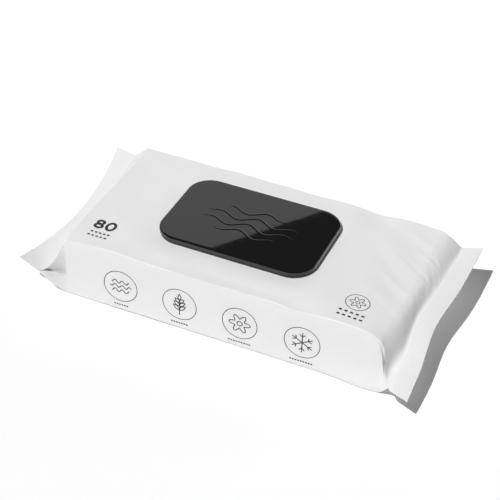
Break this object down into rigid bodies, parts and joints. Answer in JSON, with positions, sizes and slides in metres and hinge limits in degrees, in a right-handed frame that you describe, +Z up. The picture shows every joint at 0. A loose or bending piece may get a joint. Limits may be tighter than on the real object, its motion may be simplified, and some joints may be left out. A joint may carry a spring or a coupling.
{
  "type": "wet wipes pack",
  "caption": "Soft flow-wrapped pack of folded wet wipes with crimped end seals, a peel-off inner seal and a hinged flip-top dispensing lid.",
  "frame": {"origin": "on the surface the pack lies on, under the middle of its overall length and depth", "axes": "+X along the pack from seal to seal, -Y towards the printed front side, +Z up through the lid"},
  "size_m": [0.237, 0.13, 0.0434],
  "materials": {
    "printed_film": "matt white laminated film with fine black print",
    "peel_label": "satin label stock",
    "black_polypropylene": "polished injection-moulded black plastic"
  },
  "bodies": {
    "pack": {"film_pack": "printed_film", "peel_seal": "peel_label", "lid_frame": "black_polypropylene"},
    "lid": {"lid_cover": "black_polypropylene"}
  },
  "joints": [
    {"name": "lid_hinge", "type": "hinge", "parent": "pack", "child": "lid", "pos_m": [0, 0.03075, 0.04055], "axis": [-1, 0, 0], "range_deg": [0, 115]}
  ]
}
